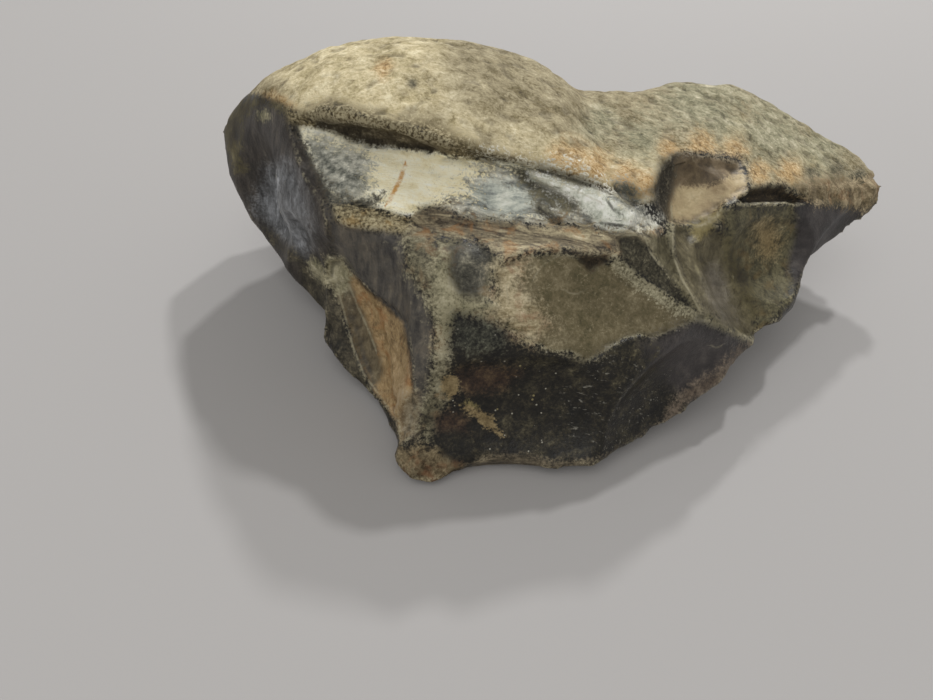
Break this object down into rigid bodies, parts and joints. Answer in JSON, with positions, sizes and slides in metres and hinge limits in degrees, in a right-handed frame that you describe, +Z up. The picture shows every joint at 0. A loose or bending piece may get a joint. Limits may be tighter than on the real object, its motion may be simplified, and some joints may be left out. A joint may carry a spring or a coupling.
{
  "type": "flint nodule",
  "caption": "Weathered flint nodule with a rounded pale crown, a ledge under its rim, a pointed horn and dark flake scars, resting on a small flat spot.",
  "frame": {"origin": "middle of the small flat spot the stone rests on", "axes": "+Z up, away from the flat spot; +X towards the pointed horn, along the length; +Y from the broken front to the back"},
  "size_m": [0.1189, 0.0799, 0.043],
  "materials": {
    "flint": "pale worn cortex on top, dark half-glossy broken faces at the front and sides"
  },
  "bodies": {
    "root": {"flint_nodule": "flint"}
  },
  "joints": []
}
